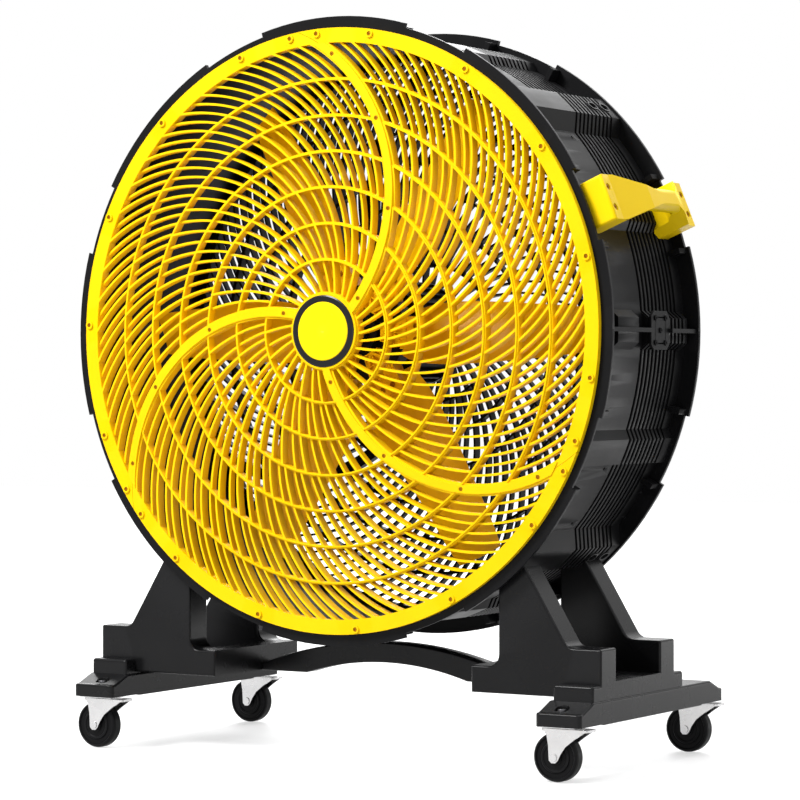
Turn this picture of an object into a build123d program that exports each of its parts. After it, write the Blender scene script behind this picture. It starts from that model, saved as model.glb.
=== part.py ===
from build123d import *
import math
import os

# Drum fan on two wheeled feet. All sizes are millimetres and degrees.
# The pieces are drawn about the fan axis: X right, Y back, Z up, with Y = 0 on the front face of
# the front ring. place() then moves them onto the floor.

# ---------------------------------------------------------------- where the fan stands
FAN_AXIS_X = -2.15       # the handle reaches past the rim on one side only
RING_FRONT_Y = -148.0    # front face of the front ring; the feet are centred on Y = 0

# ---------------------------------------------------------------- guards (front and rear grille)
RING_R = 350.0           # outer radius of the guard ring
RING_WIDE = 17.0
RING_THICK = 6.5
RING_LIP = 4.0           # the ribs run this far behind the ring
HUB_R = 44.0             # solid centre of the guard
CIRCLE_RIBS_R = tuple(RING_R * share for share in (0.832, 0.712, 0.594, 0.476, 0.356, 0.237))
SLOTS = (38, 38, 30, 30, 20, 20, 11)   # rib pitches per 120 degree sector, outer zone first
GUARD_DEPTH = 12.0       # depth of the ribs along Y
FRONT_RIB_DEPTH = 3.0    # the short ribs stand back from the main ones by this much
DOME_STEP = 1.67         # each zone stands this much further forward than the one outside it
RIB_W = 2.6
CIRCLE_RIB_W = 3.4
SPIRAL_RHO = 0.5857 * RING_R           # every rib and arm is an arc of this radius
SPIRAL_X, SPIRAL_Z = -0.3434 * RING_R, 0.4489 * RING_R     # centre of the first arm's arc
ARM_HALF = 4.5           # half width of the arm
ARM_EDGE = 2.5           # rib of the sector that runs along the arm
ARM_PROUD = 1.2          # the arm stands this much in front of the ribs
PARTING = 0.4            # gap between the ring's sectors
RING_INNER_R = RING_R - RING_WIDE
RING_SCREW_R = RING_R - 5.5
RING_SCREW_ANGLES = (13.4, 36.0, 58.3, 80.9, 92.9, 99.0, 111.0)
ARM_SCREW_R = (HUB_R + 15.5, 0.465 * RING_R, 0.72 * RING_R, RING_R - 30.0)
GUARD_SCREW_R = 1.5
SCREW_HEAD_R, SCREW_HEAD_H = 2.4, 1.2  # heads of the guard screws
HEAD_GAP = 0.2           # room round a head in its recess
BOSS_R, BOSS_H = 4.5, 2.0              # raised boss on the ring round each screw
ARM_RECESS = 1.4         # depth of the recess for a screw in an arm
BADGE_R, BADGE_DISC_R, BADGE_DEEP = HUB_R - 2.5, HUB_R - 10.0, 1.0
CUT_REACH = 30.0         # cuts through a guard run this far either side of the ring's front

# ---------------------------------------------------------------- drum
SHELL_R = RING_R - 5.3   # the shell stands inside the ring's outer edge
WALL_T = 4.2
SHELL_INNER_R = SHELL_R - WALL_T
RIM_R = SHELL_R + 19.0   # raised parts of both rims
NOTCH_R = SHELL_R + 13.8               # rims at the notches
RIM_THICK = 5.0
DRUM_BACK_Y = 227.0
NOTCH_HALF, NOTCH_PITCH = 6.8, 45.0    # half the angle of a notch, and from notch to notch
HOOK_T = 1.0             # angle of the small hooks at the ends of each notch
HOOK_LONG = 22.0
SMALL_PAD_H, TALL_PAD_H, SEAM_PAD_H = 8.0, 17.0, 9.0
GROOVE_FROM_Y, GROOVE_PITCH, GROOVES, GROOVE_DEEP = 112.0, 9.5, 10, 2.4
NOTCHES = [NOTCH_PITCH * (k + 0.5) for k in range(8)]
SEAM_STRIP_R, SEAM_STRIP_T = SHELL_R + 16.3, 2.4
PLATE_Y = (115.0, 160.0)
PLATE_HALF, PLATE_THICK, PLATE_CORNER = 22.0, 3.0, 6.0
PLATE_SCREWS_IN, PLATE_SCREWS_Z = 10.0, 14.0       # from the plate's ends, and off its middle
PLATE_SCREW_R, PLATE_HEAD_R = 1.6, 3.2
SEAM_PAD_GAPS = ((11.5, 40.0), (90.0, 115.0), (212.0, 222.0))
SEAM_PAD_ANGLE = 4.0     # the gaps in the seam pads reach this far either side of the seam
TALL_TOP = SHELL_R + TALL_PAD_H
COLLAR_ANGLES = (46.3, 133.7, 226.3, 313.7)   # oval holes in the tall pads
COLLAR_Y = (175.0, 204.0)
COLLAR_HALF = (6.5, 9.0)               # half width and half length of a collar
COLLAR_PROUD, COLLAR_WALL = 1.2, 1.9
DIMPLE_ANGLES, DIMPLE_Y, DIMPLE_R = (27.0, 39.5), 95.0, 1.8

# ---------------------------------------------------------------- handle
HANDLE_ANGLE = 22.5
HANDLE_Y, GRIP_Y = (18.0, 217.0), (102.0, 176.0)
HANDLE_FOOT_H, HANDLE_GRIP_H = 37.0, 47.5       # above the shell
HANDLE_GRIP_T = 16.0
HANDLE_HALF_W, GRIP_HALF_W = 27.0, 13.0
HANDLE_SEAT_LONG = 18.0  # flat top of each foot, where its screws sit
HANDLE_ARCH = 36.0       # from an end of the handle to the room under the grip
HANDLE_WIDE_LONG = 26.0  # full width of each foot, before it narrows to the grip
HANDLE_ROUND, GRIP_ROUND = 3.0, 6.5
HANDLE_HEAD_R, HANDLE_RECESS = 4.0, 3.0
HANDLE_SHANK_R, HANDLE_SHANK_LONG = 2.0, 10.0

# ---------------------------------------------------------------- fan
BLADES = 6
TIP_GAP = 40.5           # blade tips stand this far inside the drum wall
BLADE_TIP_R = SHELL_INNER_R - TIP_GAP
BLADE_T = 3.0
BLADE_CAMBER = 0.07      # depth of the blade's curve, as a share of its chord
BLADE_ANGLE = 59.0
BLADE_EDGES = (          # share of the tip radius, then (across, y) of leading and trailing edge
    (0.20, (-25, 61), (26, 97)),
    (0.333, (-34.5, 51), (35.5, 99)),
    (0.533, (-33.5, 67), (37, 99.5)),
    (0.767, (-27, 78.5), (34.5, 100)),
    (1.02, (-16, 78), (27.5, 101.5)),
)
FAN_Y = 80.0             # middle of the fan hub
FAN_HUB_R, FAN_HUB_Y = 56.0, (-12.0, 16.0)     # front and back of the hub, from FAN_Y
FAN_CORE_R, FAN_FACE_Y = 22.0, -4.0    # the hub's raised middle, and the face that the roots lie on
FAN_HUB_T, FAN_RIM_T = 5.0, 4.0        # its disc and its rim
ROOT_R = (FAN_HUB_R, 84.0)             # the blocks that hold the blades
ROOT_HALF_T, ROOT_HALF_W = 10.0, 19.0
FLANGE_R, FLANGE_HALF, FLANGE_T = (27.0, 62.0), (10.5, 17.0), 8.0      # from each block inwards
LATTICE_WALL, LATTICE_DEEP = 1.6, 5.0  # the flange's ribs and the depth of its cells
ROOT_HEAD_R, ROOT_HEAD_H = 3.4, 1.8
ROOT_SCREW_R, ROOT_SCREW_ANGLE = 75.0, 6.0
ROOT_SHANK_R, ROOT_SHANK_LONG = 1.8, 3.0
SHAFT_R = 6.0
SHAFT_GAP = 0.06         # running clearance of the fan shaft
MOTOR_R = 62.0
MOTOR_GAP = 8.0          # between the fan hub and the motor
MOTOR_BACK_Y = 200.0
SHAFT_IN_MOTOR = 28.0

# ---------------------------------------------------------------- control box and knob
BOX_HALF_W, BOX_HALF_H, BOX_DEEP = 46.0, 34.0, 34.0
BOX_CORNER, BOX_ROUND = 8.0, 2.0
BOX_SCREW_R, BOX_HEAD_R, BOX_SCREW_LONG = 1.7, 3.4, 8.0
KNOB_R, KNOB_SHAFT_R, KNOB_SHAFT_LONG = 17.0, 3.0, 10.0
KNOB_Y = (1.0, 4.0, 6.0, 19.0)         # skirt from and to, top of its slope, end of the knob
KNOB_FLUTES, KNOB_FLUTE_R = 12, 2.2
KNOB_GAP = 0.05          # running clearance of the knob's spindle

# ---------------------------------------------------------------- base
PEDESTAL_X = SHELL_R - 2.4             # outer faces of the pedestals
PEDESTAL_Z = -SHELL_R - 64.3           # their undersides
FRONT_UPRIGHT_Y = (21.0, 58.0)
REAR_UPRIGHT_Y = (167.0, 203.5)
PLINTH_Y, PLINTH_WIDE, PLINTH_H = (1.4, 226.0), 50.3, 16.0
PEDESTAL_FLOOR_H = 18.0  # between the uprights
PEDESTAL_ROUND, PLINTH_ROUND, INNER_ROUND = 2.5, 3.5, 14.0
BEAM_X = (PEDESTAL_X - 54.3, PEDESTAL_X + 2.1)
BEAM_Y = (-33.0, 329.0)
BEAM_Z = (PEDESTAL_Z - 28.0, PEDESTAL_Z - 1.5)
NOSE_Z = BEAM_Z[1] - 10.5
NOSE_SLOPE_Y = (8.0, 34.0)             # the slope runs between these distances from the nose
NOSE_ROUND, BEAM_ROUND = 6.0, 2.5
CROSS_Y = (122.0, 150.0)
CROSS_HALF = PEDESTAL_X - 165.8
CROSS_ARCH = (33.0, 17.0)              # rise of the beam's top and of its underside
CROSS_END_H = 8.0
CROSS_FOOT = 64.5        # straight part of the underside at each end

# ---------------------------------------------------------------- casters
CASTER_X = BEAM_X[0] + 25.5
CASTER_Y = (BEAM_Y[0] + 17.0, BEAM_Y[1] - 19.0)
CASTER_H = 60.5          # from the floor to the underside of the beam
CASTER_SWING = 40.0      # the beam is stepped up by the plate's thickness this far round a caster
WHEEL_R, WHEEL_W = 27.5, 17.0
TRAIL = 4.7              # axle behind the swivel axis, toward -X at rest
AXLE_R = 3.0
AXLE_GAP = 0.05          # running clearance of the wheel on its axle
STEM_R, STEM_GAP, STEM_LONG = 5.5, 0.05, 12.0
FOOT_SCREW_R, FOOT_HEAD_R = 2.2, 5.0
FOOT_RECESS_R, FOOT_RECESS_Z = 8.5, BEAM_Z[1] - 9.0
PLATE_T = 1.0            # steel plate under the beam
CROWN_T, CROWN_GAP = 2.6, 1.2
CROWN_X, CROWN_ROUND = (-16.0, 42.0), 4.0     # the crown reaches this far from the axle
LEG_T, LEG_GAP = 2.4, 1.0              # the leg, and the room between it and the wheel
LEG_FRONT = ((38, 29), (26, 21), (15, 12.5), (9, 4), (5.5, -3), (2.5, -6))      # from the axle
LEG_BACK = ((-2.5, -6), (-5.5, -3), (-6.5, 14), (-8.5, 25), (-12, 29.5))
AXLE_HEAD_R, AXLE_HEAD_T = 4.5, 1.2

SECTOR = 120.0
FLOOR = BEAM_Z[0] - CASTER_H
AXLE_Z = FLOOR + WHEEL_R

nodes = {}


def place(name, *solids):
    """Moves a piece from the fan axis to the floor frame and keeps it under its name."""
    onto_floor = Location((FAN_AXIS_X, RING_FRONT_Y, -FLOOR))
    moved = [solid.moved(onto_floor) for item in solids for solid in item.solids()]
    nodes[name] = moved[0] if len(moved) == 1 else Compound(children=moved)


def polar(r, deg, y=0.0):
    a = math.radians(deg)
    return Vector(r * math.cos(a), y, r * math.sin(a))


def flat(r, deg):
    """X and Z of a point on the face of the fan."""
    a = math.radians(deg)
    return r * math.cos(a), r * math.sin(a)


def spun(shape, deg):
    """Turned about the fan axis, counter-clockwise as seen from the front."""
    return shape.rotate(Axis((0, 0, 0), (0, 1, 0)), -deg)


def outline(points):
    return Wire([Edge.make_line(a, b) for a, b in zip(points, points[1:] + points[:1])])


def prism_y(points_xz, y0, y1):
    """Polygon in X and Z, from y0 to y1."""
    face = Face(outline([Vector(x, y0, z) for x, z in points_xz]))
    return Solid.extrude(face, Vector(0, y1 - y0, 0))


def prism_x(points_yz, x0, x1):
    face = Face(outline([Vector(x0, y, z) for y, z in points_yz]))
    return Solid.extrude(face, Vector(x1 - x0, 0, 0))


def block(x0, x1, y0, y1, z0, z1):
    return Solid.make_box(x1 - x0, y1 - y0, z1 - z0, Plane((x0, y0, z0)))


def rod(p, direction, r, length):
    return Solid.make_cylinder(r, length, Plane(origin=p, z_dir=direction))


def rod_y(x, z, y0, y1, r):
    return rod((x, y0, z), (0, 1, 0), r, y1 - y0)


def rod_z(x, y, z0, z1, r):
    return rod((x, y, z0), (0, 0, 1), r, z1 - z0)


def turned(points_ry, degrees=360.0):
    """Solid of revolution about the fan axis from a list of (radius, y)."""
    face = Face(outline([Vector(r, y, 0) for r, y in points_ry]))
    return Solid.revolve(face, degrees, Axis((0, 0, 0), (0, -1, 0)))


def fuse(first, *others):
    return first.fuse(*others).clean()


def pan_screw(p, direction, head_r, head_h, shank_r, shank_long):
    """Screw with its head outside p; direction points out of the work."""
    out = Vector(*direction).normalized()
    head = rod(p, out, head_r, head_h)
    top = head.faces().sort_by(Axis(tuple(p), tuple(out)))[-1]
    head = head.fillet(head_h * 0.45, top.edges())
    slot_at = Vector(*p) + out * (head_h * 0.55)
    bit = rod(slot_at, out, head_r * 0.38, head_h)
    shank = rod(Vector(*p) - out * shank_long, out, shank_r, shank_long)
    return fuse(head.cut(bit).solids()[0], shank).solids()[0]


# ================================================================ guards
SPIRAL_C = math.hypot(SPIRAL_X, SPIRAL_Z)
SPIRAL_ANGLE = math.degrees(math.atan2(SPIRAL_Z, SPIRAL_X))


def rib_angle(r, rho=SPIRAL_RHO):
    """Angle at which the first arm's arc, or one beside it, crosses radius r."""
    cos_a = (r * r + SPIRAL_C ** 2 - rho * rho) / (2 * r * SPIRAL_C)
    return SPIRAL_ANGLE - math.degrees(math.acos(cos_a))


def cell(r0, r1, turn_a, half_a, turn_b, half_b, y):
    """Outline between two ribs and two circles; half_ is half the width of the rib on that side."""
    rm = (r0 + r1) / 2
    a = [turn_a + rib_angle(r, SPIRAL_RHO - half_a) for r in (r0, rm, r1)]
    b = [turn_b + rib_angle(r, SPIRAL_RHO + half_b) for r in (r0, rm, r1)]
    arcs = [
        [(r0, a[0]), (rm, a[1]), (r1, a[2])],
        [(r1, a[2]), (r1, (a[2] + b[2]) / 2), (r1, b[2])],
        [(r1, b[2]), (rm, b[1]), (r0, b[0])],
        [(r0, b[0]), (r0, (a[0] + b[0]) / 2), (r0, a[0])],
    ]
    return Wire([Edge.make_three_point_arc(*[polar(r, t, y) for r, t in arc]) for arc in arcs])


def zone_plate(r_in, r_out, slots, every, y0, depth):
    """One zone of a guard sector: a plate between two circle ribs with the gaps left open."""
    pitch = SECTOR / slots
    ribs = [(1.5 + k) * pitch for k in range(0, slots - 2, every)]
    stops = [(0.0, ARM_HALF + ARM_EDGE)] + [(t, RIB_W / 2) for t in ribs]
    stops += [(SECTOR, ARM_HALF + ARM_EDGE)]
    low, high = r_in + CIRCLE_RIB_W / 2, min(r_out - CIRCLE_RIB_W / 2, RING_INNER_R)
    gaps = [cell(low, high, a, ha, b, hb, y0) for (a, ha), (b, hb) in zip(stops, stops[1:])]
    border = cell(r_in, r_out, 0.0, ARM_HALF, SECTOR, ARM_HALF, y0)
    return Solid.extrude(Face(border, gaps), Vector(0, depth, 0))


def guard_sector():
    radii = (RING_INNER_R + RING_LIP,) + CIRCLE_RIBS_R + (HUB_R,)
    parts = []
    for k, slots in enumerate(SLOTS):
        front = -k * DOME_STEP
        inner, outer = radii[k + 1], radii[k]
        parts.append(zone_plate(inner, outer, slots, 2, front, FRONT_RIB_DEPTH))
        parts.append(zone_plate(inner, outer, slots, 1, front + FRONT_RIB_DEPTH,
                                GUARD_DEPTH - FRONT_RIB_DEPTH))
    ring_face = Face(cell(RING_INNER_R, RING_R, 0.0, PARTING / 2, SECTOR, PARTING / 2, 0.0))
    ring = Solid.extrude(ring_face, Vector(0, RING_THICK, 0))
    sector = fuse(ring, *parts)
    seam = rib_angle(RING_SCREW_R)
    turns = [t if t > seam else t + SECTOR for t in RING_SCREW_ANGLES]
    spots = [flat(RING_SCREW_R, t) for t in turns]
    bosses = [rod_y(x, z, -BOSS_H, RING_THICK, BOSS_R) for x, z in spots]
    holes = [rod_y(x, z, -BOSS_H, RING_THICK, GUARD_SCREW_R) for x, z in spots]
    recesses = [rod_y(x, z, -BOSS_H, 0, SCREW_HEAD_R + HEAD_GAP) for x, z in spots]
    return sector.fuse(*bosses).cut(*holes, *recesses)


def dome_front(r):
    """Front of the ribs at radius r, as a straight cone."""
    return -DOME_STEP * len(SLOTS) * (RING_INNER_R - r) / (RING_INNER_R - HUB_R)


def guard_arms():
    """Three arms and the solid centre, one moulding."""
    front_hub = dome_front(HUB_R) - ARM_PROUD
    cone = turned([(0, front_hub), (HUB_R, front_hub), (RING_INNER_R, -ARM_PROUD),
                   (RING_INNER_R, GUARD_DEPTH - 2), (HUB_R, front_hub + GUARD_DEPTH),
                   (0, front_hub + GUARD_DEPTH)])
    bars = []
    for k in range(3):
        bar = cell(HUB_R - 12, RING_INNER_R, k * SECTOR, -ARM_HALF, k * SECTOR, -ARM_HALF,
                   -CUT_REACH)
        bars.append(Solid.extrude(Face(bar), Vector(0, 2 * CUT_REACH, 0)))
    centre = rod_y(0, 0, -CUT_REACH, CUT_REACH, HUB_R)
    arms = fuse(centre, *bars).intersect(cone).solids()[0]
    cuts = [rod_y(0, 0, front_hub - 1, front_hub + BADGE_DEEP, BADGE_R)]
    for k in range(3):
        for r in ARM_SCREW_R:
            x, z = flat(r, arm_angle(r, k))
            cuts.append(rod_y(x, z, -CUT_REACH, CUT_REACH, GUARD_SCREW_R))
            cuts.append(rod_y(x, z, -CUT_REACH, arm_seat(r), SCREW_HEAD_R + HEAD_GAP))
    return arms.cut(*cuts)


def arm_angle(r, k):
    return rib_angle(r) + k * SECTOR


def arm_seat(r):
    """Where the head of an arm screw rests."""
    return dome_front(r) - ARM_PROUD + ARM_RECESS


def guard(name, place_at):
    """Sectors, arms and screws of one guard; place_at puts the finished pieces in the fan."""
    sector = guard_sector()
    for k, letter in enumerate("abc"):
        place(f"{name}_sector_{letter}", place_at(spun(sector, k * SECTOR)))
    place(f"{name}_arms", place_at(guard_arms()))
    ring_screws = [pan_screw(polar(RING_SCREW_R, t + k * SECTOR), (0, -1, 0), SCREW_HEAD_R,
                             SCREW_HEAD_H, GUARD_SCREW_R, RING_THICK + RIM_THICK - 0.5)
                   for k in range(3) for t in RING_SCREW_ANGLES]
    place(f"{name}_ring_screws", *[place_at(s) for s in ring_screws])
    arm_screws = [pan_screw(polar(r, arm_angle(r, k), arm_seat(r)), (0, -1, 0), SCREW_HEAD_R,
                            SCREW_HEAD_H, GUARD_SCREW_R, 7.0)
                  for k in range(3) for r in ARM_SCREW_R]
    place(f"{name}_arm_screws", *[place_at(s) for s in arm_screws])


def facing_back(shape):
    """The rear guard is the front one turned round to face backwards."""
    return shape.rotate(Axis.Z, 180).moved(Location((0, DRUM_BACK_Y + RING_THICK, 0)))


guard("front_guard", lambda s: s)
guard("rear_guard", facing_back)

badge_back = dome_front(HUB_R) - ARM_PROUD + BADGE_DEEP
place("badge_ring", turned([(BADGE_DISC_R, badge_back), (BADGE_R, badge_back),
                            (BADGE_R, badge_back - 1.6), (BADGE_R - 1.5, badge_back - 2.4),
                            (BADGE_DISC_R, badge_back - 2.4)]))
place("badge_disc", turned([(0, badge_back), (BADGE_DISC_R, badge_back),
                            (BADGE_DISC_R, badge_back - 2.0), (BADGE_DISC_R - 1, badge_back - 2.8),
                            (0, badge_back - 3.4)]))


# ================================================================ drum
def quadrant(drop):
    """Outer contour of the shell for 0 to 90 degrees as (angle, radius) stops."""
    base = SHELL_R - drop
    small, tall, seam = base + SMALL_PAD_H, base + TALL_PAD_H, base + SEAM_PAD_H
    return [(0.0, seam), (2.3, seam), (3.7, base),
            (19.0, base), (20.5, small), (25.5, small), (26.0, base),
            (41.0, base), (43.6, tall), (49.0, tall), (49.4, base),
            (64.0, base), (65.5, small), (70.5, small), (71.0, base), (90.0, base)]


def contour(drop, y):
    """Closed contour all round: arcs where the radius stays, lines where it changes."""
    first = quadrant(drop)
    half = first + [(180 - a, r) for a, r in reversed(first[:-1])]
    stops = half + [(360 - a, r) for a, r in reversed(half[1:-1])]
    edges = []
    for (a, ra), (b, rb) in zip(stops, stops[1:] + [(360.0, stops[0][1])]):
        if ra == rb:
            arc = [polar(ra, t, y) for t in (a, (a + b) / 2, b)]
            edges.append(Edge.make_three_point_arc(*arc))
        else:
            edges.append(Edge.make_line(polar(ra, a, y), polar(rb, b, y)))
    return Wire(edges)


def slab(drop, y0, y1):
    return Solid.extrude(Face(contour(drop, y0)), Vector(0, y1 - y0, 0))


def arc_block(r0, r1, a0, a1, y0, y1):
    """Piece of a ring between two angles."""
    ring = turned([(r0, y0), (r1, y0), (r1, y1), (r0, y1)], a1 - a0)
    return spun(ring, a0)


def seam_block(r0, turn, y0, y1):
    """Room beside the seam, outside radius r0."""
    return arc_block(r0, RIM_R, turn - SEAM_PAD_ANGLE, turn + SEAM_PAD_ANGLE, y0, y1)


def drum_wall():
    """The finned wall, filled inside, with the pads at the seam cut short."""
    wall = slab(0, RING_THICK, DRUM_BACK_Y)
    cuts = []
    for k in range(GROOVES):
        y = GROOVE_FROM_Y + k * GROOVE_PITCH
        core = slab(GROOVE_DEEP, y, y + GROOVE_PITCH / 2)
        cuts.append(rod_y(0, 0, y, y + GROOVE_PITCH / 2, RIM_R).cut(core))
    for turn in (0, 180):
        for y0, y1 in SEAM_PAD_GAPS:
            cuts.append(seam_block(SHELL_R, turn, y0, y1))
    return wall.cut(*cuts)


def drum_rims():
    """Both rims with their notches, and the small hooks at the ends of each notch."""
    rims = []
    for y0 in (RING_THICK, DRUM_BACK_Y - RIM_THICK):
        rims.append(rod_y(0, 0, y0, y0 + RIM_THICK, NOTCH_R))
        for a in NOTCHES:
            rims.append(arc_block(NOTCH_R - 2, RIM_R, a + NOTCH_HALF, a + NOTCH_PITCH - NOTCH_HALF,
                                  y0, y0 + RIM_THICK))
    for a in NOTCHES:
        for side in (a - NOTCH_HALF - 1.2 * HOOK_T, a + NOTCH_HALF + 0.2 * HOOK_T):
            for y0 in (RING_THICK, DRUM_BACK_Y - HOOK_LONG):
                rims.append(arc_block(SHELL_R - 1, NOTCH_R + 1, side, side + HOOK_T,
                                      y0, y0 + HOOK_LONG))
    return rims


def seam_strip():
    """Flanges of the two halves, right across the drum; the joint plates interrupt them."""
    strip = block(-SEAM_STRIP_R, SEAM_STRIP_R, RING_THICK, DRUM_BACK_Y,
                  -SEAM_STRIP_T, SEAM_STRIP_T)
    return strip.cut(*[seam_block(SHELL_R + SEAM_PAD_H, turn, *PLATE_Y) for turn in (0, 180)])


def oval(r0, r1, angle, y, grow):
    """Oval pin, long along Y, pointing out of the drum; grow is added to the collar's outline."""
    half_w, half_long = (half + grow for half in COLLAR_HALF)
    ends = [rod(polar(r0, angle, y + s * (half_long - half_w)), polar(1, angle), half_w, r1 - r0)
            for s in (-1, 1)]
    middle = block(r0, r1, y - half_long + half_w, y + half_long - half_w, -half_w, half_w)
    return fuse(ends[0], ends[1], spun(middle, angle)).solids()[0]


def drum_shell():
    holes = [rod_y(0, 0, 0, DRUM_BACK_Y + 1, SHELL_INNER_R)]
    for turn in (0, SECTOR, 2 * SECTOR):
        for t in RING_SCREW_ANGLES:
            x, z = flat(RING_SCREW_R, t + turn)
            holes.append(rod_y(x, z, RING_THICK - 1, RING_THICK + RIM_THICK, GUARD_SCREW_R))
            holes.append(rod_y(-x, z, DRUM_BACK_Y - RIM_THICK, DRUM_BACK_Y + 1, GUARD_SCREW_R))
    for a in DIMPLE_ANGLES:
        for t in (a, 180 - a, 180 + a, 360 - a):
            holes.append(rod(polar(SHELL_R - WALL_T / 2, t, DIMPLE_Y), polar(1, t), DIMPLE_R,
                             TALL_PAD_H))
    collars = []
    for a in COLLAR_ANGLES:
        for y in COLLAR_Y:
            collars.append(oval(SHELL_R, TALL_TOP + COLLAR_PROUD, a, y, 0))
            holes.append(oval(TALL_TOP - 10, TALL_TOP + COLLAR_PROUD, a, y, -COLLAR_WALL))
    return fuse(drum_wall(), *drum_rims(), seam_strip()).fuse(*collars).cut(*holes)


shell = drum_shell()
beyond = RIM_R + 1       # past the drum on every side
place("drum_upper", shell.intersect(block(-beyond, beyond, 0, beyond, 0, beyond)))
place("drum_lower", shell.intersect(block(-beyond, beyond, 0, beyond, -beyond, 0)))


# ================================================================ joint plates over the seam
def joint_plate(side):
    r0, r1 = SHELL_R + SEAM_PAD_H, SHELL_R + SEAM_PAD_H + PLATE_THICK
    y0, y1, w, c = *PLATE_Y, PLATE_HALF, PLATE_CORNER
    pts = [(y0 + c, -w), (y1 - c, -w), (y1, -w + c), (y1, w - c),
           (y1 - c, w), (y0 + c, w), (y0, w - c), (y0, -w + c)]
    plate = prism_x(pts, r0, r1)
    spots = [(y, z) for y in (y0 + PLATE_SCREWS_IN, y1 - PLATE_SCREWS_IN)
             for z in (-PLATE_SCREWS_Z, PLATE_SCREWS_Z)] + [((y0 + y1) / 2, 0)]
    screws = [pan_screw((r1, y, z), (1, 0, 0), PLATE_HEAD_R, PLATE_HEAD_R / 2, PLATE_SCREW_R,
                        PLATE_THICK - HEAD_GAP) for y, z in spots]
    plate = plate.cut(*[rod((r0, y, z), (1, 0, 0), PLATE_SCREW_R, PLATE_THICK) for y, z in spots])
    if side < 0:
        plate = plate.rotate(Axis.Z, 180).moved(Location((0, y0 + y1, 0)))
        screws = [s.rotate(Axis.Z, 180).moved(Location((0, y0 + y1, 0))) for s in screws]
    return plate, screws


plate_r, screws_r = joint_plate(1)
plate_l, screws_l = joint_plate(-1)
place("joint_plate_right", plate_r)
place("joint_plate_left", plate_l)
place("joint_plate_screws", *screws_r, *screws_l)


# ================================================================ handle
def handle():
    """Handle drawn at angle 0 with X outward and Z along the rim, and its screws."""
    foot_r, grip_r = SHELL_R + HANDLE_FOOT_H, SHELL_R + HANDLE_GRIP_H
    front, back = HANDLE_Y
    low, inside = SHELL_R - WALL_T, grip_r - HANDLE_GRIP_T
    side = [(low, front), (foot_r, front), (foot_r, front + HANDLE_SEAT_LONG), (grip_r, GRIP_Y[0]),
            (grip_r, GRIP_Y[1]), (foot_r, back - HANDLE_SEAT_LONG), (foot_r, back), (low, back),
            (low, back - HANDLE_ARCH), (inside - 8, back - HANDLE_ARCH - 2),
            (inside, back - HANDLE_ARCH - 10), (inside, front + HANDLE_ARCH + 10),
            (inside - 8, front + HANDLE_ARCH + 2), (low, front + HANDLE_ARCH)]
    wide, waist = HANDLE_HALF_W, GRIP_HALF_W
    edge = [(front, wide), (front + HANDLE_WIDE_LONG, wide), (GRIP_Y[0] + 4, waist),
            (GRIP_Y[1] - 2, waist), (back - HANDLE_WIDE_LONG, wide), (back, wide)]
    plan = [(y, -w) for y, w in edge] + [(y, w) for y, w in reversed(edge)]
    profile = Face(outline([Vector(r, y, -wide) for r, y in side]))
    body = Solid.extrude(profile, Vector(0, 0, 2 * wide))
    body = body.intersect(prism_x(plan, low, grip_r)).solids()[0]
    by_depth = body.faces().sort_by(Axis.Y)
    ends = [e for face in (by_depth[0], by_depth[-1]) for e in face.edges()
            if e.center().X > SHELL_R]
    body = body.fillet(HANDLE_ROUND, ends)
    grip = [e for e in body.edges() if GRIP_Y[0] < e.center().Y < GRIP_Y[1]
            and e.length > 2 * waist and abs(e.center().Z) > waist - 1]
    body = body.fillet(GRIP_ROUND, grip)
    screws = []
    seat = foot_r - HANDLE_RECESS
    for y in (front + HANDLE_SEAT_LONG / 2, back - HANDLE_SEAT_LONG / 2):
        for z in (-wide * 0.45, wide * 0.45):
            body = body.cut(rod((seat, y, z), (1, 0, 0), HANDLE_HEAD_R + HEAD_GAP, HANDLE_RECESS),
                            rod((seat, y, z), (-1, 0, 0), HANDLE_SHANK_R, HANDLE_SHANK_LONG))
            screws.append(pan_screw((seat, y, z), (1, 0, 0), HANDLE_HEAD_R, HANDLE_RECESS * 0.6,
                                    HANDLE_SHANK_R, HANDLE_SHANK_LONG - 1))
    return body, screws


handle_body, handle_screws = handle()
drum_outside = slab(0, RING_THICK, DRUM_BACK_Y)
place("handle", spun(handle_body, HANDLE_ANGLE).cut(drum_outside))
place("handle_screws", *[spun(screw, HANDLE_ANGLE) for screw in handle_screws])


# ================================================================ fan
def blade_section(r, leading, trailing):
    """Thin cambered section at radius r on the +X side, from edge to edge, each (z, y)."""
    across, rise = trailing[0] - leading[0], trailing[1] - leading[1]
    chord = math.hypot(across, rise)
    c, s = across / chord, rise / chord
    half = BLADE_T / 2
    camber = BLADE_CAMBER * chord

    def at(u, v):
        """u along the chord from the leading edge, v off it, as a point of the section."""
        return Vector(r, leading[1] + u * s + v * c, leading[0] + u * c - v * s)

    front = [at(0, -half / 2), at(chord / 2, camber - half), at(chord, -half / 2)]
    back = [at(chord, half / 2), at(chord / 2, camber + half), at(0, half / 2)]
    return Wire([Edge.make_three_point_arc(*front), Edge.make_line(front[2], back[0]),
                 Edge.make_three_point_arc(*back), Edge.make_line(back[2], front[0])])


def on_blades(shape):
    """Copies of a shape drawn at angle 0, one at each blade."""
    return [spun(shape, BLADE_ANGLE + k * 360 / BLADES) for k in range(BLADES)]


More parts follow.
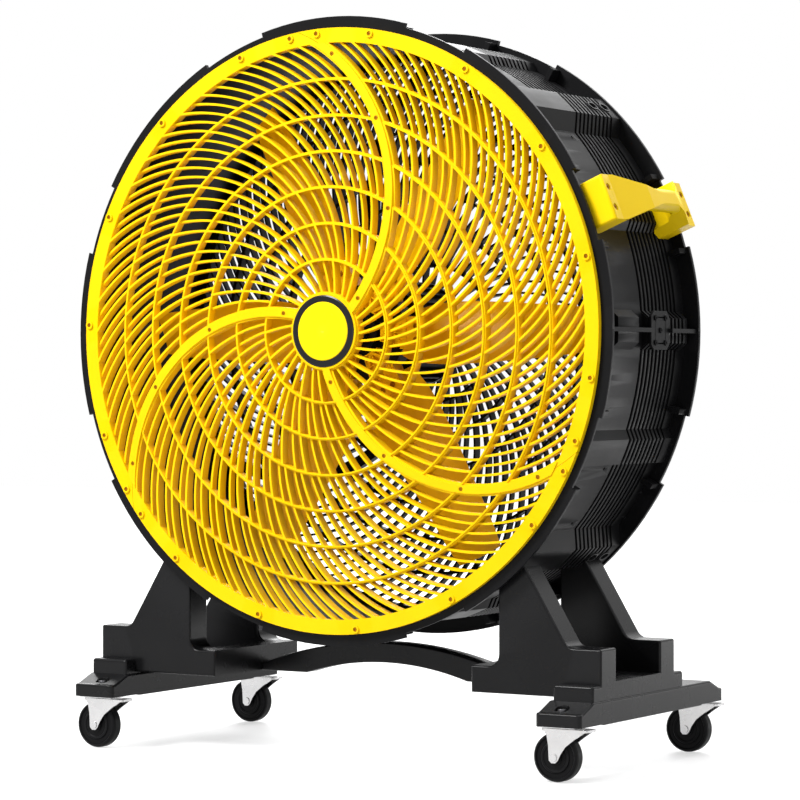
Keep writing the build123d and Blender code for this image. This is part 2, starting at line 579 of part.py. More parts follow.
wing = Solid.make_loft([blade_section(share * BLADE_TIP_R, leading, trailing)
                        for share, leading, trailing in BLADE_EDGES])
wing = wing.intersect(rod_y(0, 0, 0, DRUM_BACK_Y, BLADE_TIP_R)).solids()[0]
hub_front, hub_back = (FAN_Y + y for y in FAN_HUB_Y)
hub_face = FAN_Y + FAN_FACE_Y
place("fan_hub", turned([(SHAFT_R, hub_front), (FAN_CORE_R, hub_front), (FAN_CORE_R, hub_face),
                         (FAN_HUB_R, hub_face), (FAN_HUB_R, hub_back),
                         (FAN_HUB_R - FAN_RIM_T, hub_back),
                         (FAN_HUB_R - FAN_RIM_T, hub_face + FAN_HUB_T),
                         (FAN_CORE_R, hub_face + FAN_HUB_T), (FAN_CORE_R, hub_back),
                         (SHAFT_R, hub_back)]))


def flange():
    """Tapered plate on the hub's face, with triangular cells open to the front."""
    (r0, r1), (w0, w1) = FLANGE_R, FLANGE_HALF
    front = hub_face - FLANGE_T
    plate = prism_y([(r0, -w0), (r1, -w1), (r1, w1), (r0, w0)], front, hub_face)
    stops = [r0, (r0 + FAN_HUB_R) / 2, FAN_HUB_R]
    cells = []
    for a, b in zip(stops, stops[1:]):
        xa, xb = a + LATTICE_WALL, b
        wa, wb = (w0 + (x - r0) * (w1 - w0) / (r1 - r0) - LATTICE_WALL for x in (xa, xb))
        low, skew = LATTICE_WALL / 2, 1.6 * LATTICE_WALL
        for side in (-1, 1):
            for corners in ([(xa + skew, low), (xb, low), (xb, wb - skew)],
                            [(xa, low + skew), (xb - skew, wb), (xa, wa)]):
                cells.append(prism_y([(x, side * z) for x, z in corners],
                                     front, front + LATTICE_DEEP))
    return plate.cut(*cells)


root_front = FAN_Y - ROOT_HALF_T
root_block = block(ROOT_R[0] - 4, ROOT_R[1], root_front, FAN_Y + ROOT_HALF_T,
                   -ROOT_HALF_W, ROOT_HALF_W).cut(rod_y(0, 0, 0, DRUM_BACK_Y, ROOT_R[0]))
spots = [polar(ROOT_SCREW_R, t, root_front) for t in (-ROOT_SCREW_ANGLE, ROOT_SCREW_ANGLE)]
drills = [rod_y(p.X, p.Z, root_front - ROOT_SHANK_LONG, root_front + ROOT_SHANK_LONG, ROOT_SHANK_R)
          for p in spots]
root_screws = [pan_screw(p, (0, -1, 0), ROOT_HEAD_R, ROOT_HEAD_H, ROOT_SHANK_R, ROOT_SHANK_LONG)
               for p in spots]
root = fuse(flange(), root_block).cut(wing, *drills)
place("blade_roots", *on_blades(root))
for k, copy in enumerate(on_blades(wing.cut(*drills)), 1):
    place(f"blade_{k}", copy)
place("blade_screws", *[c for screw in root_screws for c in on_blades(screw)])
motor_front = hub_back + MOTOR_GAP
shaft_end = motor_front + SHAFT_IN_MOTOR - 2
shaft = turned([(0, hub_front - 8), (SHAFT_R - 1, hub_front - 8), (SHAFT_R, hub_front - 7),
                (SHAFT_R, shaft_end), (0, shaft_end)])
place("fan_shaft", shaft)
nut = prism_y([flat(11, 30 + 60 * k) for k in range(6)], hub_front - 7, hub_front)
place("shaft_nut", nut.cut(rod_y(0, 0, 0, shaft_end, SHAFT_R)))

# ================================================================ motor
BORE_R = SHAFT_R + SHAFT_GAP
hub_inside = DRUM_BACK_Y + RING_THICK - dome_front(HUB_R) + ARM_PROUD - GUARD_DEPTH
motor = turned([(BORE_R, motor_front), (30, motor_front), (34, motor_front + 4),
                (MOTOR_R - 4, motor_front + 6), (MOTOR_R - 4, MOTOR_BACK_Y), (0, MOTOR_BACK_Y),
                (0, motor_front + SHAFT_IN_MOTOR), (BORE_R, motor_front + SHAFT_IN_MOTOR)])
fin = block(MOTOR_R - 6, MOTOR_R, motor_front + 10, MOTOR_BACK_Y - 4, -1.5, 1.5)
place("motor_housing", fuse(motor, *[spun(fin, 12 * k) for k in range(30)]))
place("motor_cap", turned([(0, MOTOR_BACK_Y), (MOTOR_R, MOTOR_BACK_Y),
                           (MOTOR_R, MOTOR_BACK_Y + 6), (46, MOTOR_BACK_Y + 18),
                           (34, MOTOR_BACK_Y + 20), (34, hub_inside), (0, hub_inside)]))
hub_outside = hub_inside + GUARD_DEPTH


# ================================================================ control box on the rear guard
box_back = hub_outside + BOX_DEEP
case = block(-BOX_HALF_W, BOX_HALF_W, hub_outside, box_back, -BOX_HALF_H, BOX_HALF_H)
case = case.fillet(BOX_CORNER, case.edges().filter_by(Axis.Y))
case = case.fillet(BOX_ROUND, case.faces().sort_by(Axis.Y)[-1].edges())
corners = [(x, z) for x in (BOX_CORNER - BOX_HALF_W, BOX_HALF_W - BOX_CORNER)
           for z in (BOX_CORNER - BOX_HALF_H, BOX_HALF_H - BOX_CORNER)]
case = case.cut(rod_y(0, 0, box_back - KNOB_SHAFT_LONG - 2, box_back, KNOB_SHAFT_R + KNOB_GAP),
                *[rod_y(x, z, box_back - BOX_SCREW_LONG, box_back, BOX_SCREW_R)
                  for x, z in corners])
place("control_box", case)
place("control_box_screws", *[pan_screw((x, box_back, z), (0, 1, 0), BOX_HEAD_R, BOX_HEAD_R / 2,
                                        BOX_SCREW_R, BOX_SCREW_LONG) for x, z in corners])
skirt_from, skirt_to, slope_to, knob_back = (box_back + y for y in KNOB_Y)
knob = turned([(0, skirt_from), (KNOB_R, skirt_from), (KNOB_R, skirt_to),
               (KNOB_R - 3, slope_to), (KNOB_R - 4, knob_back), (0, knob_back)])
flutes = [spun(rod_y(KNOB_R - 1.5, 0, slope_to, knob_back, KNOB_FLUTE_R), 360 / KNOB_FLUTES * k)
          for k in range(KNOB_FLUTES)]
pointer = block(-1.2, 1.2, knob_back - 1, knob_back + 1, 1, KNOB_R - 5)
spindle = rod_y(0, 0, box_back - KNOB_SHAFT_LONG, skirt_from, KNOB_SHAFT_R)
place("speed_knob", fuse(knob.cut(*flutes), pointer, spindle))


# ================================================================ base
def mirrored(shape):
    return shape.mirror(Plane.YZ)


def near(edges, *places_xz):
    """Those edges whose middle lies at one of the places in X and Z."""
    return [e for e in edges if any(math.hypot(e.center().X - x, e.center().Z - z) < 0.1
                                    for x, z in places_xz)]


def pedestal():
    """Right pedestal: a front and a rear upright on one floor, shaped to the drum they carry."""
    pad_x, pad_z = flat(TALL_TOP, COLLAR_ANGLES[3])
    slope_x, slope_z = PEDESTAL_X - 42.3, PEDESTAL_Z + 55.0
    wall_x, toe_z = pad_x - 37.9, PEDESTAL_Z + 30.5
    outer = [(PEDESTAL_X, PEDESTAL_Z), (PEDESTAL_X, slope_z), (slope_x, slope_z),
             (pad_x - 1.1, pad_z - 8.5), (pad_x - 13.3, pad_z + 11.5), (wall_x, pad_z - 0.5),
             (wall_x, toe_z), (CROSS_HALF, toe_z), (CROSS_HALF, PEDESTAL_Z)]
    uprights = []
    for y0, y1 in (FRONT_UPRIGHT_Y, REAR_UPRIGHT_Y):
        wall = prism_y(outer, y0, y1)
        along_y = wall.edges().filter_by(Axis.Y)
        wall = wall.fillet(INNER_ROUND, near(along_y, (slope_x, slope_z), (wall_x, toe_z)))
        along_y = wall.edges().filter_by(Axis.Y)
        wall = wall.fillet(PEDESTAL_ROUND, near(along_y, (PEDESTAL_X, slope_z)))
        by_depth = wall.faces().sort_by(Axis.Y)
        rims = [e for face in (by_depth[0], by_depth[-1]) for e in face.edges()]
        uprights.append(wall.fillet(PEDESTAL_ROUND, rims))
    floor_top = PEDESTAL_Z + PEDESTAL_FLOOR_H
    low = [(PEDESTAL_X, PEDESTAL_Z), (PEDESTAL_X, floor_top), (wall_x - 7, floor_top),
           (wall_x - 7, toe_z), (CROSS_HALF, toe_z), (CROSS_HALF, PEDESTAL_Z)]
    floor = prism_y(low, FRONT_UPRIGHT_Y[1] - PEDESTAL_ROUND, REAR_UPRIGHT_Y[0] + PEDESTAL_ROUND)
    plinth = block(PEDESTAL_X - PLINTH_WIDE, PEDESTAL_X, *PLINTH_Y, BEAM_Z[1],
                   PEDESTAL_Z + PLINTH_H)
    plinth = plinth.fillet(PLINTH_ROUND, plinth.edges().filter_by(Axis.Z)
                           + plinth.faces().sort_by(Axis.Z)[-1].edges())
    room = [oval(TALL_TOP - 12, TALL_TOP + 1.6, COLLAR_ANGLES[3], y, 0.4) for y in COLLAR_Y]
    whole = fuse(floor, *uprights, plinth).cut(drum_outside, *room)
    return whole.solids().sort_by(SortBy.VOLUME)[-1]


right_pedestal = pedestal()
place("pedestal_right", right_pedestal)
place("pedestal_left", mirrored(right_pedestal))


def foot_beam():
    """Right foot beam; its underside is stepped up round the casters to take their plates."""
    front, back = BEAM_Y
    low, high = BEAM_Z[0], BEAM_Z[1]
    step = [(back, low + PLATE_T), (CASTER_Y[1] - CASTER_SWING, low + PLATE_T),
            (CASTER_Y[1] - CASTER_SWING, low), (CASTER_Y[0] + CASTER_SWING, low),
            (CASTER_Y[0] + CASTER_SWING, low + PLATE_T), (front, low + PLATE_T)]
    near, far = NOSE_SLOPE_Y
    profile = [(front, NOSE_Z), (front + near, NOSE_Z), (front + far, high), (back - far, high),
               (back - near, NOSE_Z), (back, NOSE_Z)] + step
    beam = prism_x(profile, *BEAM_X)
    beam = beam.fillet(NOSE_ROUND, [e for e in beam.edges().filter_by(Axis.Z)
                                    if e.center().Z > low + PLATE_T])
    upright = beam.edges().filter_by(Axis.Z)
    beam = beam.fillet(BEAM_ROUND, [e for e in beam.edges() if e not in upright
                                    and e.center().Z > low + PLATE_T + 1])
    for y in CASTER_Y:
        beam = beam.cut(rod_z(CASTER_X, y, FOOT_RECESS_Z, high + 10, FOOT_RECESS_R),
                        rod_z(CASTER_X, y, low, FOOT_RECESS_Z, FOOT_SCREW_R),
                        rod_z(CASTER_X, y, low, low + STEM_LONG, STEM_R + STEM_GAP))
    return beam


right_beam = foot_beam()
place("foot_beam_right", right_beam)
place("foot_beam_left", mirrored(right_beam))
beam_screws = [pan_screw((s * CASTER_X, y, FOOT_RECESS_Z), (0, 0, 1), FOOT_HEAD_R, 2.4,
                         FOOT_SCREW_R, 3.0) for s in (-1, 1) for y in CASTER_Y]
place("foot_screws", *beam_screws)


def cross_beam():
    """Arched beam between the pedestals."""
    y0, y1 = CROSS_Y
    end_top, arch = PEDESTAL_Z + CROSS_END_H, CROSS_HALF - CROSS_FOOT
    top = [(-CROSS_HALF, end_top), (0, end_top + CROSS_ARCH[0]), (CROSS_HALF, end_top)]
    low = [(CROSS_HALF, PEDESTAL_Z), (arch, PEDESTAL_Z), (0, PEDESTAL_Z + CROSS_ARCH[1]),
           (-arch, PEDESTAL_Z), (-CROSS_HALF, PEDESTAL_Z)]
    p = [Vector(x, y0, z) for x, z in top]
    q = [Vector(x, y0, z) for x, z in low]
    wire = Wire([Edge.make_three_point_arc(*p), Edge.make_line(p[2], q[0]),
                 Edge.make_line(q[0], q[1]), Edge.make_three_point_arc(*q[1:4]),
                 Edge.make_line(q[3], q[4]), Edge.make_line(q[4], p[0])])
    return Solid.extrude(Face(wire), Vector(0, y1 - y0, 0))


place("cross_beam", cross_beam())


# ================================================================ casters
def caster_fork(x, y):
    """Fork with its stem, at swivel axis x, y; the axle trails toward -X."""
    crown_z = BEAM_Z[0] - CROWN_GAP
    axle_x = x - TRAIL
    leg_in = WHEEL_W / 2 + LEG_GAP
    half = leg_in + LEG_T
    back, front = (axle_x + reach for reach in CROWN_X)
    crown = block(back, front, y - half, y + half, crown_z - CROWN_T, crown_z)
    crown = crown.fillet(CROWN_ROUND, crown.edges().filter_by(Axis.Z))
    edge = [(axle_x + dx, AXLE_Z + dz) for dx, dz in LEG_FRONT + LEG_BACK]
    leg = [(back + CROWN_ROUND, crown_z), (front - CROWN_ROUND, crown_z)] + edge
    legs = [prism_y(leg, y0, y0 + LEG_T) for y0 in (y - half, y + leg_in)]
    stem = rod_z(x, y, crown_z - CROWN_T, BEAM_Z[0] + STEM_LONG - 0.5, STEM_R)
    fork = fuse(crown, *legs, stem)
    return fork.cut(rod_y(axle_x, AXLE_Z, y - half, y + half, AXLE_R)), axle_x, half


def caster_wheel(axle_x, y):
    """Solid tread with a stepped hub on both faces."""
    w = WHEEL_W / 2
    half = [(AXLE_R + AXLE_GAP, w), (8, w), (8, w - 1.5), (14, w - 1.5), (15, w - 0.5),
            (17, w - 0.5), (18, w - 2), (23, w - 2), (24, w - 0.4), (WHEEL_R - 2.5, w - 0.4),
            (WHEEL_R - 0.6, w - 2), (WHEEL_R, w - 4.5)]
    points = half + [(r, -t) for r, t in reversed(half)]
    face = Face(outline([Vector(r, t, 0) for r, t in points]))
    wheel = Solid.revolve(face, 360, Axis((0, 0, 0), (0, 1, 0)))
    return wheel.moved(Location((axle_x, y, AXLE_Z)))


plates = []
for s, side in ((-1, "left"), (1, "right")):
    for y, end in zip(CASTER_Y, ("front", "rear")):
        x = s * CASTER_X
        plate = block(x - 23, x + 23, y - 15, y + 15, BEAM_Z[0], BEAM_Z[0] + PLATE_T)
        plate = plate.cut(rod_z(x, y, BEAM_Z[0], BEAM_Z[0] + PLATE_T, STEM_R + STEM_GAP))
        plates.append(plate)
        fork, axle_x, half = caster_fork(x, y)
        place(f"fork_{end}_{side}", fork)
        place(f"wheel_{end}_{side}", caster_wheel(axle_x, y))
        outside = half + AXLE_HEAD_T
        pin = rod_y(axle_x, AXLE_Z, y - outside, y + outside, AXLE_R)
        heads = [rod_y(axle_x, AXLE_Z, y - outside, y - half, AXLE_HEAD_R),
                 rod_y(axle_x, AXLE_Z, y + half, y + outside, AXLE_HEAD_R)]
        place(f"axle_{end}_{side}", fuse(pin, *heads))
place("caster_plates", *plates)

# ================================================================ files
os.makedirs("parts", exist_ok=True)
for name, shape in nodes.items():
    export_step(shape, f"parts/{name}.step")
    box = shape.bounding_box()
    print(f"{name:24s} {len(shape.solids()):3d} solids  {box.min.X:7.1f} {box.max.X:7.1f}"
          f" {box.min.Y:7.1f} {box.max.Y:7.1f} {box.min.Z:7.1f} {box.max.Z:7.1f}")
print(len(nodes), "nodes")
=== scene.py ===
import bpy
import math
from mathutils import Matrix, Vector

# Studio picture of the drum fan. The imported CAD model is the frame: metres, +Z up, the front
# guard faces -Y. Every shape comes from it; this script adds finishes, light and a camera.

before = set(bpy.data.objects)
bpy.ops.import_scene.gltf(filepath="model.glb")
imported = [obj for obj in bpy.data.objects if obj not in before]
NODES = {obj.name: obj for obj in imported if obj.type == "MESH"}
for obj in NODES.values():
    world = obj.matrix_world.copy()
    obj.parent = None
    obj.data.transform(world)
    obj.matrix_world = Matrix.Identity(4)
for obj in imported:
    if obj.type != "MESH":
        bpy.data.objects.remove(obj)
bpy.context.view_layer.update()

# ---------------------------------------------------------------- camera, fitted to the photograph
CAMERA_AT = (1.927, -3.158, 0.4405)
CAMERA_AZIMUTH = 31.35        # degrees round from the front towards +X
CAMERA_DOWN = 0.356           # degrees below the horizon
CAMERA_LENS = 139.4           # mm
SENSOR_WIDTH = 36.0           # mm

# ---------------------------------------------------------------- colours, as sRGB
YELLOW = (0.935, 0.778, 0.010)
YELLOW_SHADE = (0.920, 0.750, 0.006)
LEMON = (0.925, 0.800, 0.020)
LEMON_SHADE = (0.910, 0.780, 0.012)
AMBER = (0.990, 0.792, 0.024)
AMBER_SHADE = (0.975, 0.755, 0.018)
BADGE = (1.000, 0.880, 0.060)
BADGE_SHADE = (1.000, 0.860, 0.050)
# edge colour of the yellow plastics: rub with a painted highlight
PALE_YELLOW = (1.000, 0.800, 0.100)
CHARCOAL = (0.070, 0.070, 0.074)
CHARCOAL_SHADE = (0.056, 0.056, 0.060)
BASE = (0.066, 0.066, 0.070)
BASE_SHADE = (0.056, 0.056, 0.060)
BLACK = (0.050, 0.050, 0.055)
BLACK_SHADE = (0.038, 0.038, 0.043)
# edge colour of the dark plastics: rub with a painted highlight
GREY_RUB_AND_HIGHLIGHT = (0.130, 0.130, 0.135)
STEEL = (0.745, 0.743, 0.745)
DARK_STEEL = (0.330, 0.330, 0.340)
# orange-brown on the screw heads: painted shade of the yellow recesses they sit in
PAINTED_RECESS_SHADE = (0.620, 0.400, 0.090)

# ---------------------------------------------------------------- finishes
# Colour, its shade, colour of the rubbed edges with their painted highlight, roughness, width and
# depth of the grain in mm, gloss.
PLASTICS = {
    "guard_yellow": (YELLOW, YELLOW_SHADE, PALE_YELLOW, 0.40, 0.9, 0.05, 0.08),
    "handle_yellow": (LEMON, LEMON_SHADE, PALE_YELLOW, 0.36, 1.4, 0.05, 0.10),
    "badge_yellow": (BADGE, BADGE_SHADE, PALE_YELLOW, 0.25, 2.5, 0.05, 0.08),
    "badge_black": (CHARCOAL, CHARCOAL_SHADE, GREY_RUB_AND_HIGHLIGHT, 0.24, 2.0, 0.02, 0.20),
    "blade_amber": (AMBER, AMBER_SHADE, PALE_YELLOW, 0.28, 2.0, 0.04, 0.20),
    "drum_charcoal": (CHARCOAL, CHARCOAL_SHADE, GREY_RUB_AND_HIGHLIGHT, 0.37, 2.0, 0.01, 0.07),
    "base_charcoal": (BASE, BASE_SHADE, GREY_RUB_AND_HIGHLIGHT, 0.26, 14.0, 0.004, 0.13),
    "guard_black": (BLACK, BLACK_SHADE, GREY_RUB_AND_HIGHLIGHT, 0.44, 0.9, 0.05, 0.04),
    "wheel_black": (BLACK, BLACK_SHADE, GREY_RUB_AND_HIGHLIGHT, 0.40, 1.1, 0.05, 0.08),
    "motor_black": (BLACK, BLACK_SHADE, GREY_RUB_AND_HIGHLIGHT, 0.36, 1.6, 0.05, 0.08),
    "knob_black": (BLACK, BLACK_SHADE, GREY_RUB_AND_HIGHLIGHT, 0.36, 1.0, 0.05, 0.15),
}

# Colour, roughness and how the drawn lines are stretched along X, Y and Z.
METALS = {
    "bright_steel": (STEEL, 0.26, (1, 6, 1)),
    "screw_steel": (DARK_STEEL, 0.34, (1, 1, 1)),
    # the orange-brown screws carry painted shade of their yellow recesses
    "screw_painted_recess_shade": (PAINTED_RECESS_SHADE, 0.38, (1, 1, 1)),
}

# First word or words of a node's name, and its finish. The longest match counts.
DRESS = {
    "front_guard": "guard_yellow",
    "rear_guard": "guard_black",
    # the ring, arm, handle and blade screws are coloured as painted shade of their recesses
    "front_guard_ring_screws": "screw_painted_recess_shade",
    "front_guard_arm_screws": "screw_painted_recess_shade",
    "rear_guard_ring_screws": "screw_steel",
    "rear_guard_arm_screws": "screw_steel",
    "badge_ring": "badge_black",
    "badge_disc": "badge_yellow",
    "handle": "handle_yellow",
    "handle_screws": "screw_painted_recess_shade",
    "drum": "drum_charcoal",
    "joint_plate": "drum_charcoal",
    "joint_plate_screws": "guard_black",
    "pedestal": "base_charcoal",
    "foot_beam": "base_charcoal",
    "foot_screws": "screw_steel",
    "cross_beam": "base_charcoal",
    "blade": "blade_amber",
    "blade_screws": "screw_painted_recess_shade",
    "fan_hub": "motor_black",
    "fan_shaft": "bright_steel",
    "shaft_nut": "screw_steel",
    "motor": "motor_black",
    "control_box": "knob_black",
    "control_box_screws": "screw_steel",
    "speed_knob": "knob_black",
    "fork": "bright_steel",
    "axle": "bright_steel",
    "caster_plates": "bright_steel",
    "wheel": "wheel_black",
}

# Softened edges: their width in metres, by the first word of the node's name.
BEVELS = {"cross": 0.002, "handle": 0.0012, "drum": 0.0007, "joint": 0.0006, "fork": 0.0004,
          "axle": 0.0004}
BEVEL_SEGMENTS = 2
BEVEL_ANGLE = 35              # degrees; blunter edges stay as they are
JOINED_WITHIN = 0.00001       # metres

# Noise that varies the finishes. A pair is its size in mm and its detail.
FLOW = (70, 4.0)              # colour of a moulding
PATCH = (35, 3.0)             # its roughness
GRAIN_DETAIL = 2.0
TARNISH = (25, 2.0)           # colour of a metal
LINES = (18, 2.0)             # its roughness
NOISE_SPAN = (0.3, 0.7)       # the values of a noise that become the ends of a range
ROUGHNESS_SPREAD = (-0.02, 0.03)
GRAIN_STRENGTH = 0.6
EDGE_SPAN = (0.51, 0.55)      # Pointiness where the rub and painted highlight of an edge start and are full
EDGE_RUB_AND_HIGHLIGHT = 0.25               # share of the rub and painted highlight colour on an outer edge
TARNISH_SHADE = 0.96          # how bright the tarnished metal stays

# ---------------------------------------------------------------- light and floor
# Soft lights: where they are, what they aim at, width and height in metres, and power in watts.
LIGHTS = {
    "front_key": ((-1.3, -2.6, 3.2), (0, 0, 0.5), (1.2, 1.2), 245),
    "low_back": ((1.8, 2.8, 0.0), (0.3, 0, 0.0), (2.4, 0.3), 12),
    "high_back": ((0.0, 2.7, 2.3), (0.1, 0, 0.6), (3.6, 1.2), 26),
    "right_side": ((3.2, -1.2, 2.8), (0.3, 0, 0.5), (1.4, 1.4), 24),
    "top": ((0.6, 0.2, 3.4), (0.1, 0, 0.5), (2.6, 2.0), 86),
    "low_front": ((0.9, -3.6, 0.5), (0, 0, 0.4), (1.6, 0.8), 9),
    "rear_left": ((-2.2, 2.8, 2.2), (0, 0, 0.5), (2.4, 2.0), 70),
}
SKY = 0.19                    # strength of the plain light all round
WHITE = (1, 1, 1, 1)
FLOOR_SIZE = 14.0             # metres
FLOOR_Z = -0.0005
FLOOR_GREY = 0.42
FLOOR_ROUGHNESS = 0.6
FADE_REACH = (0.7, 2.6)       # metres from the fan between which the floor turns white
FADE_WHITE = (0.58, 1.0)      # strength of white that is added there


def linear(colour):
    """sRGB to the linear values that shaders take."""
    return tuple(c / 12.92 if c <= 0.04045 else ((c + 0.055) / 1.055) ** 2.4 for c in colour) + (1.0,)


def new_material(name):
    material = bpy.data.materials.new(name)
    material.use_nodes = True
    return material


class Graph:
    """A node tree with short calls for its nodes and links."""

    MIX_COLOURS = (6, 7)          # the places of a Mix node's two colours among its inputs
    MIX_RESULT = 2                # and of the mixed colour among its outputs

    def __init__(self, tree):
        self.tree = tree

    def add(self, kind, **inputs):
        """A new node. Its inputs are set by name, with _ for a space."""
        node = self.tree.nodes.new(kind)
        for key, value in inputs.items():
            node.inputs[key.replace("_", " ")].default_value = value
        return node

    def link(self, source, target):
        self.tree.links.new(source, target)

    def place(self):
        return self.add("ShaderNodeTexCoord").outputs["Object"]

    def noise(self, size_mm, detail, stretch=(1, 1, 1)):
        """Noise whose blotches are about size_mm across."""
        mapping = self.add("ShaderNodeMapping", Scale=stretch)
        self.link(self.place(), mapping.inputs["Vector"])
        noise = self.add("ShaderNodeTexNoise", Scale=1000.0 / size_mm, Detail=detail)
        self.link(mapping.outputs["Vector"], noise.inputs["Vector"])
        return noise.outputs["Fac"]

    def ranged(self, value, span, ends):
        """The values of span, spread from one of the ends to the other."""
        ramp = self.add("ShaderNodeMapRange", From_Min=span[0], From_Max=span[1],
                        To_Min=ends[0], To_Max=ends[1])
        self.link(value, ramp.inputs["Value"])
        return ramp.outputs["Result"]

    def mixed(self, factor, first, second):
        """Two colours, each a value or another node's output."""
        mix = self.add("ShaderNodeMix")
        mix.data_type = "RGBA"
        self.link(factor, mix.inputs["Factor"])
        for index, colour in zip(self.MIX_COLOURS, (first, second)):
            if isinstance(colour, tuple):
                mix.inputs[index].default_value = colour
            else:
                self.link(colour, mix.inputs[index])
        return mix.outputs[self.MIX_RESULT]

    def edge_rub_and_highlight(self):
        """How much an edge is rubbed and carries a painted highlight: the set edge share on the outer
        edges of a moulding, 0 elsewhere.
        """
        shape = self.add("ShaderNodeNewGeometry").outputs["Pointiness"]
        share = self.add("ShaderNodeMath")
        share.operation = "MULTIPLY"
        self.link(self.ranged(shape, EDGE_SPAN, (0.0, 1.0)), share.inputs[0])
        share.inputs[1].default_value = EDGE_RUB_AND_HIGHLIGHT
        return share.outputs[0]

    def bump(self, height, depth_mm, shader):
        """Presses a noise into the surface, depth_mm deep."""
        bump = self.add("ShaderNodeBump", Strength=GRAIN_STRENGTH, Distance=depth_mm / 1000.0)
        self.link(height, bump.inputs["Height"])
        self.link(bump.outputs["Normal"], shader.inputs["Normal"])

    def roughen(self, noise, roughness, shader):
        """Lets the roughness vary a little round its value."""
        ends = [roughness + spread for spread in ROUGHNESS_SPREAD]
        self.link(self.ranged(noise, NOISE_SPAN, ends), shader.inputs["Roughness"])

    def direct_view(self):
        """1 for the rays that see the background itself: in the picture, in metal and in glass."""
        path = self.add("ShaderNodeLightPath")
        seen = path.outputs["Is Camera Ray"]
        for ray in ("Is Glossy Ray", "Is Transmission Ray"):
            either = self.add("ShaderNodeMath")
            either.operation = "MAXIMUM"
            self.link(seen, either.inputs[0])
            self.link(path.outputs[ray], either.inputs[1])
            seen = either.outputs[0]
        return seen

    def split(self, lighting, background, output):
        """The lighting shader, but the background one for the rays that see it directly."""
        mix = self.add("ShaderNodeMixShader")
        for source, socket in zip((self.direct_view(), lighting, background), mix.inputs):
            self.link(source, socket)
        self.link(mix.outputs[0], self.tree.nodes[output].inputs["Surface"])


def plastic(name, colour, shade, edge, roughness, grain_mm, grain_depth, gloss):
    """Moulded plastic: faint flow marks, a fine grain and paler edges, partly rub and partly a
    painted highlight.
    """
    material = new_material(name)
    g = Graph(material.node_tree)
    shader = g.tree.nodes["Principled BSDF"]
    shader.inputs["Specular IOR Level"].default_value = gloss
    flow = g.ranged(g.noise(*FLOW), NOISE_SPAN, (0.0, 1.0))
    body = g.mixed(flow, linear(colour), linear(shade))
    # paler edges: partly rub, partly a painted highlight
    g.link(g.mixed(g.edge_rub_and_highlight(), body, linear(edge)), shader.inputs["Base Color"])
    g.roughen(g.noise(*PATCH), roughness, shader)
    g.bump(g.noise(grain_mm, GRAIN_DETAIL), grain_depth, shader)
    return material


def metal(name, colour, roughness, stretch):
    """Plated metal with faint drawn lines and a little tarnish."""
    material = new_material(name)
    g = Graph(material.node_tree)
    shader = g.tree.nodes["Principled BSDF"]
    shader.inputs["Metallic"].default_value = 1.0
    tarnish = g.ranged(g.noise(*TARNISH), NOISE_SPAN, (0.0, 1.0))
    darker = tuple(c * TARNISH_SHADE for c in colour)
    g.link(g.mixed(tarnish, linear(colour), linear(darker)), shader.inputs["Base Color"])
    g.roughen(g.noise(*LINES, stretch), roughness, shader)
    return material


def dress(node, obj, finishes):
    """Gives a CAD node its finish, and softens the moulded edges."""
    match = max((key for key in DRESS if node.startswith(key)), key=len)
    for slot in obj.material_slots:
        slot.material = finishes[DRESS[match]]
    width = BEVELS.get(node.split("_")[0])
    if width:
        obj.modifiers.new("joined", "WELD").merge_threshold = JOINED_WITHIN
        bevel = obj.modifiers.new("edges", "BEVEL")
        bevel.width = width
        bevel.segments = BEVEL_SEGMENTS
        bevel.limit_method = "ANGLE"
        bevel.angle_limit = math.radians(BEVEL_ANGLE)
        bevel.harden_normals = True


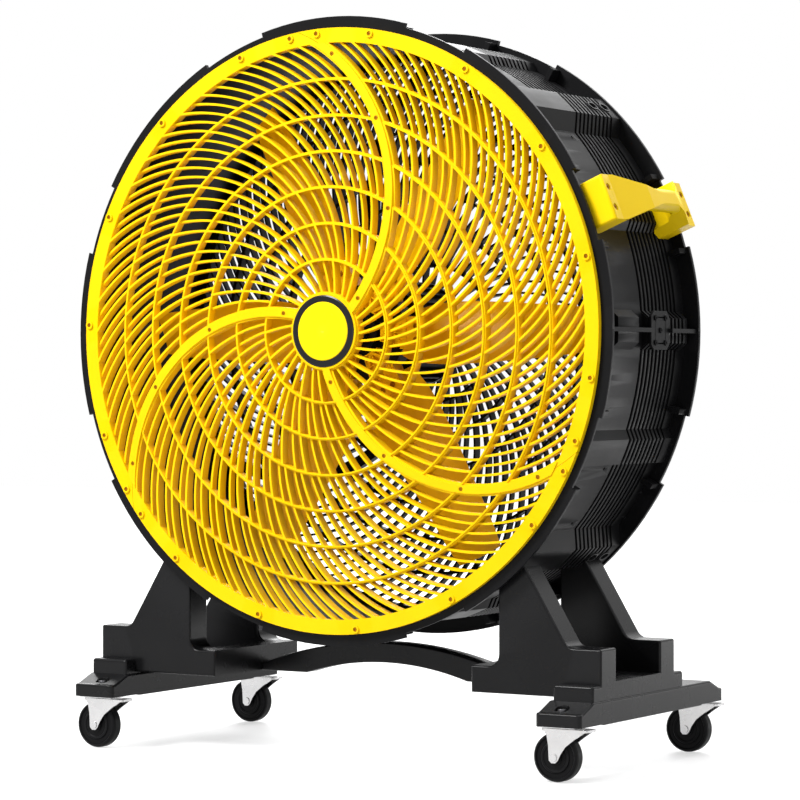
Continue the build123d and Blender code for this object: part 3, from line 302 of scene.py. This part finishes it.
def floor():
    """Pale floor that keeps the fan's shadow and passes into the white background further out."""
    bpy.ops.mesh.primitive_plane_add(size=FLOOR_SIZE, location=(0, 0, FLOOR_Z))
    plane = bpy.context.object
    plane.name = "studio_floor"
    material = new_material("studio_floor")
    g = Graph(material.node_tree)
    surface = g.tree.nodes["Principled BSDF"]
    surface.inputs["Base Color"].default_value = (FLOOR_GREY, FLOOR_GREY, FLOOR_GREY, 1)
    surface.inputs["Roughness"].default_value = FLOOR_ROUGHNESS
    reach = g.add("ShaderNodeVectorMath")
    reach.operation = "LENGTH"
    g.link(g.place(), reach.inputs[0])
    white = g.add("ShaderNodeEmission")
    g.link(g.ranged(reach.outputs["Value"], FADE_REACH, FADE_WHITE), white.inputs["Strength"])
    lit = g.add("ShaderNodeAddShader")
    g.link(surface.outputs[0], lit.inputs[0])
    g.link(white.outputs[0], lit.inputs[1])
    g.split(surface.outputs[0], lit.outputs[0], "Material Output")
    plane.data.materials.append(material)


def sky():
    """Plain light all round, with a white background."""
    world = bpy.data.worlds.new("studio")
    bpy.context.scene.world = world
    world.use_nodes = True
    g = Graph(world.node_tree)
    around = g.tree.nodes["Background"]
    around.inputs["Color"].default_value = WHITE
    around.inputs["Strength"].default_value = SKY
    white = g.add("ShaderNodeBackground", Color=WHITE)
    g.split(around.outputs[0], white.outputs[0], "World Output")


def softbox(name, at, aim, size, power):
    """A rectangular light that the camera does not see."""
    data = bpy.data.lights.new(name, "AREA")
    data.shape = "RECTANGLE"
    data.size, data.size_y = size
    data.energy = power
    lamp = bpy.data.objects.new(name, data)
    bpy.context.collection.objects.link(lamp)
    lamp.location = at
    lamp.rotation_euler = (Vector(aim) - Vector(at)).to_track_quat("-Z", "Y").to_euler()
    lamp.visible_camera = False


def camera():
    data = bpy.data.cameras.new("camera")
    data.lens = CAMERA_LENS
    data.sensor_width = SENSOR_WIDTH
    obj = bpy.data.objects.new("camera", data)
    bpy.context.collection.objects.link(obj)
    obj.location = CAMERA_AT
    obj.rotation_euler = (math.radians(90 - CAMERA_DOWN), 0, math.radians(CAMERA_AZIMUTH))
    bpy.context.scene.camera = obj


finishes = {name: plastic(name, *values) for name, values in PLASTICS.items()}
finishes.update({name: metal(name, *values) for name, values in METALS.items()})
for node, obj in NODES.items():
    dress(node, obj, finishes)

floor()
sky()
for name, values in LIGHTS.items():
    softbox(name, *values)
camera()
bpy.context.scene.view_settings.view_transform = "Standard"
